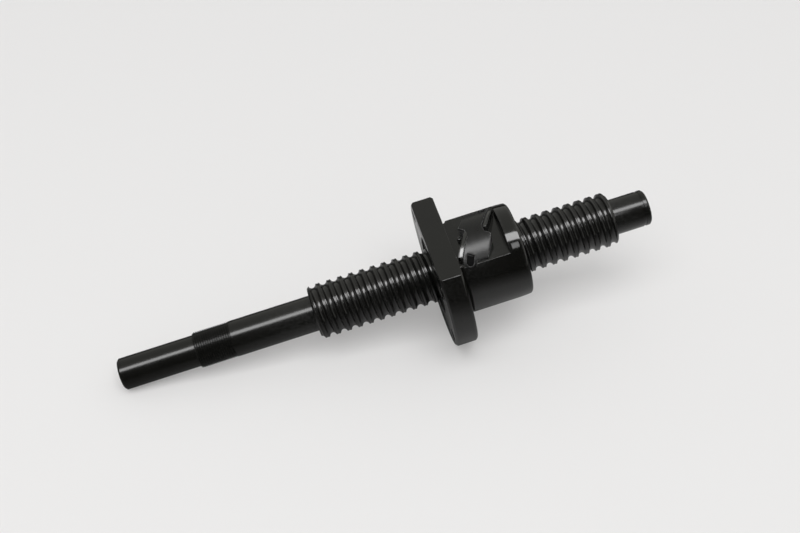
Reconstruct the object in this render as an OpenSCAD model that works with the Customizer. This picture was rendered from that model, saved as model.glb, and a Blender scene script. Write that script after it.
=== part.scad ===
// Ball screw with a flanged nut, flat side up.
// X runs along the screw, from the bearing end to the support end. Z is the normal of the nut's flats.
// The origin is on the axis, at the shoulder where the bearing seat meets the ball thread.
// All sizes are in millimetres.

/* [Ball thread] */
// Axial travel per turn, right-hand
lead = 5; // [2:0.5:10]
// Outside diameter of the rolled thread
thread_od = 24; // [16:0.1:40]
// Length of the ball thread between its shoulders
thread_length = 137; // [60:1:400]
// Ball diameter
ball_d = 3.175; // [1.5:0.001:6]
// Diameter of the circle that the ball centres run on
ball_circle_d = 24.4; // [16:0.1:42]
// Gap between a ball and either groove
ball_clearance = 0.12; // [0.02:0.01:0.3]
// Gap between the thread's crest and the nut's bore
crest_clearance = 0.46; // [0.2:0.01:1]
// Depth of the seam that rolling leaves along the middle of the crest
seam_depth = 0.15; // [0.05:0.05:0.4]
// Chamfer at the ends of the thread
thread_chamfer = 1.0; // [0.2:0.1:2]
// Straight pieces in one turn of the helix
helix_steps = 24; // [16:2:36]

/* [Screw ends] */
// Diameter of the drive journal
drive_d = 14; // [6:0.5:24]
// Length of the drive journal
drive_length = 34; // [10:1:80]
// Crest diameter of the fine lock nut thread
lock_thread_d = 15.75; // [8:0.05:24]
// Length of the lock nut thread
lock_thread_length = 16; // [6:1:40]
// Width of the run-out groove between the lock nut thread and the bearing seat
runout_width = 0.7; // [0.6:0.1:3]
// Diameter at the floor of the run-out groove
runout_d = 14.6; // [6:0.1:24]
// Diameter of the bearing seat
seat_d = 16; // [8:0.5:24]
// Length of the bearing seat
seat_length = 37; // [10:1:80]
// Diameter of the support journal
support_d = 16; // [6:0.5:24]
// Length of the support journal
support_length = 17; // [8:1:60]
// Width of the retaining ring groove
ring_groove_width = 1.1; // [0.7:0.05:2]
// Diameter at the floor of the retaining ring groove
ring_groove_d = 15.2; // [6:0.1:24]
// Distance from the ring groove to the end face
ring_groove_land = 2.4; // [1:0.1:6]
// Chamfer on the end faces
end_chamfer = 0.8; // [0.2:0.1:2]

/* [Nut] */
// Axial place of the flange's outer face at rest
nut_x = 54.5; // [6:0.5:90]
// Flange diameter
flange_d = 66; // [40:1:100]
// Flange thickness
flange_thickness = 10; // [5:0.5:20]
// Distance from the axis to the flange's flat
flange_flat = 22.5; // [15:0.5:40]
// Nut body diameter
body_d = 42; // [30:1:70]
// Whole length of the nut
nut_length = 39.5; // [25:0.5:80]
// Distance from the axis to the body's flat
body_flat = 15; // [12:0.1:30]
// Length of the full round at the end of the nut
end_ring_length = 6.5; // [3:0.5:12]
// Chamfer on the flange's rims
flange_chamfer = 0.9; // [0.2:0.1:2]
// Width of the undercut beside the flange
undercut_width = 1.5; // [0.5:0.1:3]
// Depth of the undercut, into the body and beyond its radius on the flange's face
undercut_depth = 0.8; // [0.2:0.1:2]
// How far the undercut reaches into the flange's face
undercut_face = 0.3; // [0.1:0.1:1]
// Diameter of the bolt holes
bolt_hole_d = 5.5; // [3:0.1:11]
// Wall between a bolt hole and the flange's rim
bolt_edge = 2.25; // [1.5:0.05:6]
// Angle of each bolt hole from the flat's normal, on both sides, up and down
bolt_angle = 60; // [30:1:80]

/* [Wipers] */
// Diameter of the wiper's seat in the nut
wiper_seat_d = 34.5; // [26:0.5:40]
// Depth of the wiper's seat
wiper_seat_depth = 4; // [2:0.5:8]
// Thickness of a wiper
wiper_thickness = 3.2; // [1.5:0.1:6]
// Radial gap round a wiper in its seat
wiper_fit = 0.06; // [0.02:0.01:0.2]
// Radial gap between a wiper's lip and the thread
lip_clearance = 0.2; // [0.05:0.05:1]

/* [Return cap] */
// Loaded turns in the ball circuit
circuit_turns = 2.5; // [1.5:1:5.5]
// Axial distance from the flange's outer face to the cap's centre
cap_from_face = 21.15; // [15:0.05:60]
// Radius of the cap's top, concentric with the nut
cap_top_r = 20.75; // [15:0.05:35]
// Radius of the return channel
channel_r = 1.7; // [1:0.05:3]
// Height of the return channel's centre line over the axis
channel_z = 16.8; // [12:0.1:30]
// Bend radius of the return channel
channel_bend = 6.5; // [4:0.5:12]
// Balls in the whole circuit
ball_count = 76; // [20:1:200]
// Width of the window at each corner of the cap
window_width = 3.8; // [2:0.1:6]
// Wall round each window
window_wall = 0.9; // [0.4:0.1:2]
// Wall of the round tongue that leads the balls out of the thread
tongue_wall = 0.7; // [0.4:0.1:2]
// Depth of the insert's face below the cap's top
window_sink = 0.4; // [0.1:0.1:1]
// Gap between the cap and its pocket in the nut
pocket_fit = 0.08; // [0.02:0.01:0.3]

/* [Clips] */
// Width of a clip bar
clip_width = 1.7; // [0.8:0.1:3]
// Gap between a clip bar and the cap
clip_gap = 0.25; // [0.1:0.05:0.6]
// Top radius of a clip bar, concentric with the nut
clip_top_r = 20.75; // [15:0.05:35]
// Head diameter of the small screw beside the front clip
clip_screw_d = 1.9; // [1:0.1:4]

/* [Hidden] */
$fn = 96;
eps = 0.01;
steel = [0.16, 0.17, 0.18];
black = [0.12, 0.12, 0.13];
bright = [0.75, 0.76, 0.78];

ball_r = ball_d / 2;
pitch_r = ball_circle_d / 2;
crest_r = thread_od / 2;
groove_r = ball_r + ball_clearance;
bore_r = crest_r + crest_clearance;
steps_out = 1 / cos(180 / helix_steps);

body_x0 = nut_x + flange_thickness;
bolt_r = flange_d / 2 - bolt_edge - bolt_hole_d / 2;
nut_x1 = nut_x + nut_length;
ring_x0 = nut_x1 - end_ring_length;
cap_x = nut_x + cap_from_face;
circuit_half = circuit_turns * lead / 2;
// A groove's centre stands at this place at angle 0, so that the circuit starts at the front pocket.
phase = cap_x - circuit_half - lead / 2;

// The groove is a gothic arch: flats that stay clear of a circle of groove_r round the ball's centre.
arch_step = 41;
arch_r = groove_r / cos(arch_step / 2);
// Screw groove, as [axial offset, radius], with the seam of the crest at its start
screw_arch = [
    [-lead / 2, crest_r - seam_depth],
    [-arch_r * sin(2 * arch_step), crest_r],
    [-arch_r * sin(arch_step), pitch_r - arch_r * cos(arch_step)],
    [0, pitch_r - arch_r],
    [arch_r * sin(arch_step), pitch_r - arch_r * cos(arch_step)],
    [arch_r * sin(2 * arch_step), crest_r]
];
// Nut groove, as [axial offset, radius], drawn outward so that the flats stay clear of the balls
nut_arch = [
    [-arch_r * sin(2 * arch_step), bore_r * steps_out],
    [-arch_r * sin(arch_step), (pitch_r + arch_r * cos(arch_step)) * steps_out],
    [0, (pitch_r + arch_r) * steps_out],
    [arch_r * sin(arch_step), (pitch_r + arch_r * cos(arch_step)) * steps_out],
    [arch_r * sin(2 * arch_step), bore_r * steps_out]
];

// A solid rod along X from x0 to x1 with a right-hand helical groove of the given section.
module helical_rod(x0, x1, arch) {
    n = helix_steps;
    p = len(arch);
    k0 = floor((x0 - phase) / lead) - 2;
    rows = p * (ceil((x1 - x0) / lead) + 5);
    table = concat(arch, [[lead + arch[0][0], arch[0][1]]]);
    function along(i, j) = phase + lead * (k0 + floor(i / p) + j / n) + arch[i % p][0];
    function turned(x, j) = x - phase - lead * j / n;
    function folded(t) = t - lead * floor((t - arch[0][0]) / lead);
    function radius(x, j) = lookup(folded(turned(x, j)), table);
    low = [for (j = [0 : n - 1]) len([for (i = [0 : rows - 1]) if (along(i, j) <= x0) 1]) - 1];
    high = [for (j = [0 : n - 1]) len([for (i = [0 : rows - 1]) if (along(i, j) < x1) 1])];
    function id(i, j) = j < n ? j * rows + min(max(i, low[j]), high[j]) : id(i + p, 0);
    function place(i, j) = let (
        inside = i > low[j] && i < high[j],
        x = inside ? along(i, j) : (i <= low[j] ? x0 : x1),
        r = inside ? arch[i % p][1] : radius(x, j)
    ) [x, r * cos(360 * j / n), r * sin(360 * j / n)];
    places = [for (j = [0 : n - 1]) for (i = [0 : rows - 1]) place(i, j)];
    centre = len(places);
    sides = [
        for (j = [0 : n - 1])
        for (i = [0 : rows - p - 2])
        let (a = id(i, j), b = id(i + 1, j), c = id(i + 1, j + 1), d = id(i, j + 1))
        for (f = [[a, b, c], [a, c, d]])
        if (f[0] != f[1] && f[1] != f[2] && f[0] != f[2]) f
    ];
    near_end = [for (j = [0 : n - 1]) [centre, id(0, j), id(0, j + 1)]];
    far_end = [for (j = [0 : n - 1]) [centre + 1, id(rows - p - 1, j + 1), id(rows - p - 1, j)]];
    polyhedron(
        points = concat(places, [[x0, 0, 0], [x1, 0, 0]]),
        faces = concat(sides, near_end, far_end)
    );
}

// Turns a drawing of [radius, x] into a round solid along X.
module turned_x(points) {
    multmatrix([[0, 0, 1, 0], [0, 1, 0, 0], [-1, 0, 0, 0], [0, 0, 0, 1]])
    rotate_extrude()
    polygon(points);
}

module rod_x(x0, x1, r) {
    turned_x([[0, x0], [r, x0], [r, x1], [0, x1]]);
}

// Cuts a 45 degree chamfer at the end of a rod. side is -1 at its low end and 1 at its high end.
module end_cut(x, r, side) {
    turned_x([
        [r - thread_chamfer, x + side * eps],
        [r + 1, x - side * (thread_chamfer + 1)],
        [r + 1, x + side * eps]
    ]);
}

module screw_shaft() {
    c = end_chamfer;
    x_thread = -seat_length - lock_thread_length;
    x_drive = x_thread - drive_length;
    x_end = thread_length + support_length;
    x_groove = x_end - ring_groove_land - ring_groove_width;
    color(steel)
    union() {
        difference() {
            helical_rod(0, thread_length, screw_arch);
            end_cut(0, crest_r, -1);
            end_cut(thread_length, crest_r, 1);
        }
        turned_x([
            [0, x_drive],
            [drive_d / 2 - c, x_drive],
            [drive_d / 2, x_drive + c],
            [drive_d / 2, x_thread],
            [lock_thread_d / 2 - c, x_thread],
            [lock_thread_d / 2, x_thread + c],
            [lock_thread_d / 2, -seat_length - runout_width],
            [runout_d / 2, -seat_length - runout_width],
            [runout_d / 2, -seat_length],
            [seat_d / 2, -seat_length],
            [seat_d / 2, 2],
            [0, 2]
        ]);
        turned_x([
            [0, thread_length - 2],
            [support_d / 2, thread_length - 2],
            [support_d / 2, x_groove],
            [ring_groove_d / 2, x_groove],
            [ring_groove_d / 2, x_groove + ring_groove_width],
            [support_d / 2, x_groove + ring_groove_width],
            [support_d / 2, x_end - c],
            [support_d / 2 - c, x_end],
            [0, x_end]
        ]);
    }
}

// The return path: down direction at the front leg, over the flat, and down at the rear leg
leg_y = pitch_r;
run = norm([circuit_half, leg_y]);
run_x = circuit_half / run;
run_y = leg_y / run;
bend_z = channel_z - channel_bend;

// Puts children at the front leg, with x along the crossing, towards the cap's centre.
// side is -1 at the front and 1 at the rear, which is the front turned half a turn about Z.
module at_leg(side) {
    translate([cap_x, 0, 0])
    rotate([0, 0, side < 0 ? 0 : 180])
    translate([-circuit_half, -leg_y, 0])
    rotate([0, 0, atan2(run_y, run_x)])
    children();
}

// The path that the balls take outside the thread, as a solid of the given radius.
module channel(r, open) {
    for (side = [-1, 1]) {
        at_leg(side) {
            cylinder(r = r, h = bend_z);
            translate([channel_bend, 0, bend_z])
            rotate([90, 0, 0])
            rotate([0, 0, 90])
            rotate_extrude(angle = 90)
            translate([channel_bend, 0])
            circle(r = r);
        }
    }
    at_leg(-1) {
        translate([channel_bend, 0, channel_z])
        rotate([0, 90, 0])
        cylinder(r = r, h = 2 * run - 2 * channel_bend);
        if (open) {
            translate([channel_bend + 0.5, -r + 0.25, body_flat - 1])
            cube([2 * run - 2 * channel_bend - 1, 2 * r - 0.5, channel_z - body_flat + 1]);
        }
    }
}

// Oblong along the crossing, standing on z0. The window lies a little off the leg.
window_reach = 0.9;
module oblong(r, z0, z1) {
    for (t = [-window_reach, window_reach]) {
        translate([t, 0, z0])
        cylinder(r = r, h = z1 - z0);
    }
    translate([-window_reach, -r, z0])
    cube([2 * window_reach, 2 * r, z1 - z0]);
}

// Half of the cap's outline. The other half is the same, turned half a turn.
cap_half = [
    [2.3, -13.3], [6.5, -4.6], [6.4, -3.5], [4.3, -2.9], [4.0, 0.2], [8.2, 9.2], [8.2, 12.2], [3.4, 13.3]
];
cap_outline = concat(cap_half, [for (q = cap_half) [-q[0], -q[1]]]);

// Each leg stands in the nut: an oblong shoulder below the window, and a round tongue down to the thread.
shoulder_r = window_width / 2 + window_wall;
shoulder_z = body_flat - 3;
tongue_r = channel_r + tongue_wall;
tongue_z = 3;

module return_cap() {
    color(black)
    difference() {
        intersection() {
            union() {
                translate([cap_x, 0, body_flat])
                linear_extrude(height = cap_top_r - body_flat)
                polygon(cap_outline);
                for (side = [-1, 1]) {
                    at_leg(side)
                    oblong(shoulder_r, shoulder_z, cap_top_r);
                    at_leg(side)
                    translate([0, 0, tongue_z])
                    cylinder(r = tongue_r, h = shoulder_z - tongue_z + 1);
                }
            }
            rod_x(nut_x, nut_x1, cap_top_r);
        }
        channel(channel_r, true);
        rod_x(nut_x, nut_x1, bore_r + pocket_fit);
        for (side = [-1, 1]) {
            at_leg(side)
            oblong(window_width / 2, channel_z - 2.5, cap_top_r + 1);
        }
    }
}

module window_insert(side) {
    difference() {
        intersection() {
            at_leg(side)
            oblong(window_width / 2 - 0.03, channel_z - 2.47, cap_top_r + 1);
            rod_x(nut_x, nut_x1, cap_top_r - window_sink);
        }
        channel(channel_r, false);
    }
}

module window_insert_front() {
    color(black)
    window_insert(-1);
}

module window_insert_rear() {
    color(black)
    window_insert(1);
}

// A bar beside the cap's slanted edge, lying on the flat, its top concentric with the nut.
bar_angle = atan2(9.0, 4.2);
module clip_bar() {
    intersection() {
        translate([4.0, 0.2, body_flat])
        rotate([0, 0, bar_angle])
        union() {
            translate([0.6, -clip_gap - clip_width, 0])
            cube([9.6, clip_width, 8]);
            translate([0.6, -clip_gap - clip_width / 2, 0])
            cylinder(r = clip_width / 2, h = 8);
        }
        rod_x(-nut_length, nut_length, clip_top_r);
    }
}

module clip_rear() {
    color(steel)
    translate([cap_x, 0, 0])
    clip_bar();
}

module clip_front() {
    color(steel)
    translate([cap_x, 0, 0])
    rotate([0, 0, 180])
    clip_bar();
}

clip_screw_at = [-8.3, -2.3];
module clip_screw() {
    color(steel)
    translate([cap_x + clip_screw_at[0], clip_screw_at[1], 0])
    difference() {
        union() {
            translate([0, 0, body_flat])
            cylinder(d = clip_screw_d, h = 1.4);
            translate([0, 0, body_flat - 0.8])
            cylinder(d = clip_screw_d * 0.6, h = 1);
        }
        translate([0, 0, body_flat + 0.8])
        cylinder(d = clip_screw_d * 0.45, h = 1, $fn = 6);
    }
}

module nut_body() {
    fc = flange_chamfer;
    r_seat = wiper_seat_d / 2;
    color(steel)
    difference() {
        turned_x([
            [0, nut_x],
            [flange_d / 2 - fc, nut_x],
            [flange_d / 2, nut_x + fc],
            [flange_d / 2, body_x0 - fc],
            [flange_d / 2 - fc, body_x0],
            [body_d / 2 + undercut_depth, body_x0],
            [body_d / 2 - undercut_depth, body_x0 - undercut_face],
            [body_d / 2 - undercut_depth, body_x0 + undercut_width],
            [body_d / 2, body_x0 + undercut_width + undercut_depth],
            [body_d / 2, nut_x1 - end_chamfer],
            [body_d / 2 - end_chamfer, nut_x1],
            [0, nut_x1]
        ]);
        // flats
        translate([nut_x - 1, -flange_d, flange_flat])
        cube([flange_thickness + 1, 2 * flange_d, flange_d]);
        translate([body_x0, -flange_d, body_flat])
        cube([ring_x0 - body_x0, 2 * flange_d, flange_d]);
        // ball thread and wiper seats
        helical_rod(nut_x + wiper_seat_depth - 0.5, nut_x1 - wiper_seat_depth + 0.5, nut_arch);
        rod_x(nut_x - 1, nut_x + wiper_seat_depth, r_seat);
        rod_x(nut_x1 - wiper_seat_depth, nut_x1 + 1, r_seat);
        // pockets for the return cap
        for (side = [-1, 1]) {
            at_leg(side)
            oblong(shoulder_r + pocket_fit, shoulder_z - pocket_fit, flange_d);
            at_leg(side)
            translate([0, 0, tongue_z - pocket_fit])
            cylinder(r = tongue_r + pocket_fit, h = shoulder_z);
        }
        channel(channel_r, false);
        // seat of the small screw
        translate([cap_x + clip_screw_at[0], clip_screw_at[1], body_flat - 0.85])
        cylinder(d = clip_screw_d * 0.6 + 0.06, h = 2);
        // bolt holes
        for (a = [bolt_angle, 180 - bolt_angle, 180 + bolt_angle, 360 - bolt_angle]) {
            rotate([a, 0, 0])
            translate([nut_x - 1, 0, bolt_r])
            rotate([0, 90, 0])
            cylinder(d = bolt_hole_d, h = flange_thickness + 2);
        }
    }
}

module wiper(x) {
    r = wiper_seat_d / 2 - wiper_fit;
    ri = crest_r + lip_clearance;
    turned_x([
        [ri, x + 0.5],
        [ri + 0.5, x],
        [r - 0.3, x],
        [r, x + 0.3],
        [r, x + wiper_thickness - 0.3],
        [r - 0.3, x + wiper_thickness],
        [ri + 0.5, x + wiper_thickness],
        [ri, x + wiper_thickness - 0.5]
    ]);
}

module wiper_front() {
    color(black)
    wiper(nut_x + wiper_seat_depth - wiper_thickness - wiper_fit);
}

module wiper_rear() {
    color(black)
    wiper(nut_x1 - wiper_seat_depth + wiper_fit);
}

// Where ball number k of the circuit stands. Distances run along the path from the front leg's foot.
helix_part = circuit_turns * norm([2 * PI * pitch_r, lead]);
leg_part = bend_z;
bend_part = PI * channel_bend / 2;
cross_part = 2 * run - 2 * channel_bend;
path_total = helix_part + 2 * leg_part + 2 * bend_part + cross_part;
ball_step = path_total / ball_count;

function on_helix(s) = let (t = s / helix_part, a = 180 + 360 * circuit_turns * t)
    [cap_x - circuit_half + 2 * circuit_half * t, pitch_r * cos(a), pitch_r * sin(a)];
// A point of the return, from its height and its distance from the rear leg along the crossing
function over(d, z) = [cap_x + circuit_half - d * run_x, leg_y - d * run_y, z];
function on_return(s) =
    s < leg_part ? over(0, s)
    : s < leg_part + bend_part ? let (a = 90 * (s - leg_part) / bend_part)
        over(channel_bend * (1 - cos(a)), bend_z + channel_bend * sin(a))
    : s < leg_part + bend_part + cross_part ? over(channel_bend + s - leg_part - bend_part, channel_z)
    : s < leg_part + 2 * bend_part + cross_part ?
        let (a = 90 * (s - leg_part - bend_part - cross_part) / bend_part)
        over(channel_bend + cross_part + channel_bend * sin(a), bend_z + channel_bend * cos(a))
    : over(2 * run, path_total - helix_part - s);
function ball_at(k) = let (s = (k + 0.5) * ball_step)
    s < helix_part ? on_helix(s) : on_return(s - helix_part);

// The balls whose place along the path is between s0 and s1.
module balls(s0, s1) {
    for (k = [0 : ball_count - 1]) {
        if ((k + 0.5) * ball_step >= s0 && (k + 0.5) * ball_step < s1) {
            translate(ball_at(k))
            sphere(r = ball_r);
        }
    }
}

one_turn = helix_part / circuit_turns;

module balls_turn_1() {
    color(bright)
    balls(0, one_turn);
}

module balls_turn_2() {
    color(bright)
    balls(one_turn, 2 * one_turn);
}

module balls_half_turn() {
    color(bright)
    balls(2 * one_turn, helix_part);
}

module balls_return() {
    color(bright)
    balls(helix_part, path_total);
}

screw_shaft();
nut_body();
wiper_front();
wiper_rear();
return_cap();
window_insert_front();
window_insert_rear();
clip_front();
clip_rear();
clip_screw();
balls_turn_1();
balls_turn_2();
balls_half_turn();
balls_return();
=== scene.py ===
# %% [markdown]
# Ball screw: a steel shaft with a rolled helical groove, and a nut that runs along it on balls.
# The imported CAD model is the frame: its nodes are never moved. This script gives each visible
# part its real surface, edges and finish, and lights it as a small product on a pale table.

# %% Load the frame
import math

import bmesh
import bpy
import numpy as np
from mathutils import Matrix, Vector


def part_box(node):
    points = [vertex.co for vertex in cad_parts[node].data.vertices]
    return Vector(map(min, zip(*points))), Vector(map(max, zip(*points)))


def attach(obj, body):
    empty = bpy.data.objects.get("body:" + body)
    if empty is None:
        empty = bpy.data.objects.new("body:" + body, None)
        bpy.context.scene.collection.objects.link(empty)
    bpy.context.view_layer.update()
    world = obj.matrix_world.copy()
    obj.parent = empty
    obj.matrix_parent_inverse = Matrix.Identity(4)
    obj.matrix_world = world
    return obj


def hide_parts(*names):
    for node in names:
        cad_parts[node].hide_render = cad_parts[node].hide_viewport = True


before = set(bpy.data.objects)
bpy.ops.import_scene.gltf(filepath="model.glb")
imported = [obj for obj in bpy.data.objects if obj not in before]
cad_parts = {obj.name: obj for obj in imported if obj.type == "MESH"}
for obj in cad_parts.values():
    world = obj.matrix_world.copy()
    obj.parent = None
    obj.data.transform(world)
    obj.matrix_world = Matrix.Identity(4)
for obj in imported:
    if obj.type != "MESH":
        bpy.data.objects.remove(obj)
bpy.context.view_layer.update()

# %% [markdown]
# The outer places are read from the CAD nodes. X runs along the screw, Z is the normal of the
# nut's flats, and the origin is at the shoulder of the bearing seat. A mesh is written in
# millimetres and scaled once, when it is made.

# %% Places that the frame gives
MM = 0.001
X, Z = 0, 2


def reach(node, axis):
    """From where to where a CAD node reaches along an axis, in millimetres."""
    low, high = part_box(node)
    return round(float(low[axis]) / MM, 3), round(float(high[axis]) / MM, 3)


SCREW_X0, SCREW_X1 = reach("screw_shaft", X)
CREST_R = reach("screw_shaft", Z)[1]
NUT_X0, NUT_X1 = reach("nut_body", X)
FLANGE_FLAT = reach("nut_body", Z)[1]
print("screw from", SCREW_X0, "to", SCREW_X1, "mm, crests at", CREST_R, "mm")
print("nut from", NUT_X0, "to", NUT_X1, "mm, flange's flat at", FLANGE_FLAT, "mm")

# %% [markdown]
# The sizes inside a node don't show in its box, so they are the ones that the CAD is drawn to, in
# millimetres. CIRCUIT_X is the middle of the ball circuit, and CAP_X the middle of the cap that
# covers it. SUNK is how far a piece that stands on the flat reaches into it, so that no light
# passes underneath.

# %% Sizes that several pieces share
LEAD = 5.0
THREAD_END = 137.0
PITCH_R = 12.2
SEAT_LENGTH = 37.0
LOCK_THREAD_X = -53.0
FLANGE_X1 = NUT_X0 + 10.0
RING_X0 = NUT_X1 - 6.5
FLANGE_R = 33.0
BODY_R = 21.0
BODY_FLAT = 15.0
UNDERCUT_R = BODY_R - 0.8
WIPER_SEAT_R = 17.25
WIPER_SEAT_DEPTH = 4.0
BORE_R = 12.46
CIRCUIT_X = 75.65
CAP_X = 76.6
CAP_TOP_R = BODY_R - 0.25
CIRCUIT_HALF = 2.5 * LEAD / 2
GROOVE_PHASE = CIRCUIT_X - CIRCUIT_HALF - LEAD / 2
SUNK = 0.02
print("groove phase", GROOVE_PHASE, "mm; cap's top at", CAP_TOP_R, "mm")

# %% [markdown]
# Every finish is procedural. Marks that more than one finish shows are node groups: they give out
# only masks and heights, and each material keeps its own shader. A tiny builder keeps the node
# code readable: it adds a node, links what is a socket and writes what is a number.

# %% A small builder for node trees
FLOAT = "NodeSocketFloat"
INT = "NodeSocketInt"


def add_node(tree, kind, inputs=(), **settings):
    """Adds a node. inputs maps socket names or numbers to values or to other nodes' sockets."""
    made = tree.nodes.new(kind)
    for name, value in settings.items():
        setattr(made, name, value)
    for key, value in dict(inputs).items():
        if isinstance(value, bpy.types.NodeSocket):
            tree.links.new(value, made.inputs[key])
        else:
            made.inputs[key].default_value = value
    return made


def calc(tree, operation, *values):
    """One Math node. It gives its output socket."""
    return add_node(tree, "ShaderNodeMath", enumerate(values), operation=operation).outputs[0]


def mix_tones(tree, factor, first, second):
    """Mixes two colours, each a socket or four numbers. It gives the colour socket."""
    colour_a, colour_b, colour_out = 6, 7, 2
    mixer = add_node(tree, "ShaderNodeMix", {0: factor}, data_type="RGBA")
    for number, value in ((colour_a, first), (colour_b, second)):
        if isinstance(value, bpy.types.NodeSocket):
            tree.links.new(value, mixer.inputs[number])
        else:
            mixer.inputs[number].default_value = value
    return mixer.outputs[colour_out]


def blank_group(name, kind, inputs, outputs):
    """A node group with named sockets. inputs holds (name, socket type, default)."""
    tree = bpy.data.node_groups.new(name, kind)
    for title, socket, default in inputs:
        made = tree.interface.new_socket(title, in_out="INPUT", socket_type=socket)
        if default is not None:
            made.default_value = default
    for title, socket in outputs:
        tree.interface.new_socket(title, in_out="OUTPUT", socket_type=socket)
    return tree, tree.nodes.new("NodeGroupInput"), tree.nodes.new("NodeGroupOutput")


# %% [markdown]
# A lathe leaves fine rings round the axis. Their height changes along X on a cylinder and with
# the radius on a faced end, so the noise reads X plus the radius, strongly stretched. The group
# also gives soft patches, for the small drift in tone that every oxide bath leaves.

# %% Node group: turning marks
marks, g_in, g_out = blank_group(
    "TurningMarks", "ShaderNodeTree",
    [("Rings per Millimetre", FLOAT, 6.0)], [("Height", FLOAT), ("Patches", FLOAT)])
place = add_node(marks, "ShaderNodeTexCoord").outputs["Object"]
split = add_node(marks, "ShaderNodeSeparateXYZ", {0: place})
y_squared = calc(marks, "MULTIPLY", split.outputs[1], split.outputs[1])
z_squared = calc(marks, "MULTIPLY", split.outputs[2], split.outputs[2])
radius = calc(marks, "SQRT", calc(marks, "ADD", y_squared, z_squared))
along = calc(marks, "ADD", split.outputs[0], radius)
per_metre = calc(marks, "MULTIPLY", g_in.outputs[0], 1000.0)
ring_place = add_node(
    marks, "ShaderNodeCombineXYZ", {0: calc(marks, "MULTIPLY", along, per_metre)})
rings = add_node(marks, "ShaderNodeTexNoise", {
    "Vector": ring_place.outputs[0], "Scale": 1.0, "Detail": 2.0, "Roughness": 0.6})
patches = add_node(marks, "ShaderNodeTexNoise", {
    "Vector": place, "Scale": 140.0, "Detail": 3.0, "Roughness": 0.55})
marks.links.new(rings.outputs[0], g_out.inputs[0])
marks.links.new(patches.outputs[0], g_out.inputs[1])

# %% Node group: grain of a moulded, blasted or milled surface
grain, g_in, g_out = blank_group(
    "Grain", "ShaderNodeTree", [("Scale", FLOAT, 2500.0)],
    [("Height", FLOAT), ("Patches", FLOAT)])
place = add_node(grain, "ShaderNodeTexCoord").outputs["Object"]
pits = add_node(grain, "ShaderNodeTexNoise", {
    "Vector": place, "Scale": g_in.outputs[0], "Detail": 3.0, "Roughness": 0.65})
clouds = add_node(grain, "ShaderNodeTexNoise", {"Vector": place, "Scale": 220.0, "Detail": 2.0})
grain.links.new(pits.outputs[0], g_out.inputs[0])
grain.links.new(clouds.outputs[0], g_out.inputs[1])

# %% [markdown]
# Black oxide rubs thin first where two faces meet. Each mesh carries an attribute called edge,
# which is 1 on its sharpest corners, and this group breaks it up with noise so that the wear
# looks handled and not drawn. On the moulded cap the same mask, with a pale tone, also paints the
# highlight that its rounded edges catch.

# %% Node group: worn edges
wear, g_in, g_out = blank_group(
    "WornEdges", "ShaderNodeTree", [("Amount", FLOAT, 0.5)], [("Mask", FLOAT)])
edge = add_node(wear, "ShaderNodeAttribute", attribute_name="edge").outputs["Fac"]
place = add_node(wear, "ShaderNodeTexCoord").outputs["Object"]
flecks = add_node(wear, "ShaderNodeTexNoise", {"Vector": place, "Scale": 900.0, "Detail": 4.0})
broken = add_node(wear, "ShaderNodeMapRange", {
    "Value": flecks.outputs[0], "From Min": 0.35, "From Max": 0.65}).outputs[0]
mask = calc(wear, "MULTIPLY", calc(wear, "MULTIPLY", edge, broken), g_in.outputs[0])
wear.links.new(mask, g_out.inputs[0])
print("node groups:", marks.name, grain.name, wear.name)

# %% [markdown]
# The materials. Black oxide on ground steel is nearly black with a clear reflection, so its body
# colour is very low and its gloss comes from the shader. The colour only drifts a little between
# two close tones, and the wear shows a slightly paler grey. On the cap that paler edge grey is
# wear and also a painted highlight along its rounded edges.

# %% Material maker
def finish(name, dark, light, rough, texture, scale, bump, wear_and_sheen=0.0, wear_and_sheen_tone=0.15,
           metallic=0.0, ior=1.5):
    """A Principled finish whose colour, roughness and bump follow a texture group."""
    made = bpy.data.materials.new(name)
    made.use_nodes = True
    tree = made.node_tree
    tree.nodes.clear()
    shader = add_node(tree, "ShaderNodeBsdfPrincipled", {"Metallic": metallic, "IOR": ior})
    look = add_node(tree, "ShaderNodeGroup", node_tree=texture)
    look.inputs[0].default_value = scale
    colour = mix_tones(tree, look.outputs[1], (*dark, 1), (*light, 1))
    if wear_and_sheen:
        mask = add_node(tree, "ShaderNodeGroup", node_tree=wear)
        mask.inputs[0].default_value = wear_and_sheen
        colour = mix_tones(tree, mask.outputs[0], colour, (wear_and_sheen_tone, wear_and_sheen_tone, wear_and_sheen_tone, 1))
    spread = add_node(tree, "ShaderNodeMapRange", {
        "Value": look.outputs[1], "From Min": 0.3, "From Max": 0.7,
        "To Min": rough[0], "To Max": rough[1]})
    relief = add_node(tree, "ShaderNodeBump", {
        "Height": look.outputs[0], "Strength": 1.0, "Distance": bump * MM})
    out = add_node(tree, "ShaderNodeOutputMaterial")
    tree.links.new(colour, shader.inputs["Base Color"])
    tree.links.new(spread.outputs[0], shader.inputs["Roughness"])
    tree.links.new(relief.outputs[0], shader.inputs["Normal"])
    tree.links.new(shader.outputs[0], out.inputs[0])
    return made


# %% The finishes of this ball screw
ground_steel = finish(
    "black_oxide_ground", (0.0035, 0.0036, 0.0030), (0.0055, 0.0055, 0.0046), (0.19, 0.23),
    marks, 4.0, 0.0004, wear_and_sheen=0.35, wear_and_sheen_tone=0.04, ior=1.54)
rolled_steel = finish(
    "black_oxide_rolled", (0.0035, 0.0036, 0.0032), (0.0060, 0.0060, 0.0054), (0.15, 0.24),
    grain, 1500.0, 0.0020, wear_and_sheen=0.25, wear_and_sheen_tone=0.05, ior=1.62)
turned_steel = finish(
    "black_oxide_turned", (0.0030, 0.0030, 0.0026), (0.0048, 0.0048, 0.0040), (0.09, 0.12),
    marks, 3.0, 0.0004, wear_and_sheen=0.5, wear_and_sheen_tone=0.03, ior=1.62)
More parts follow.
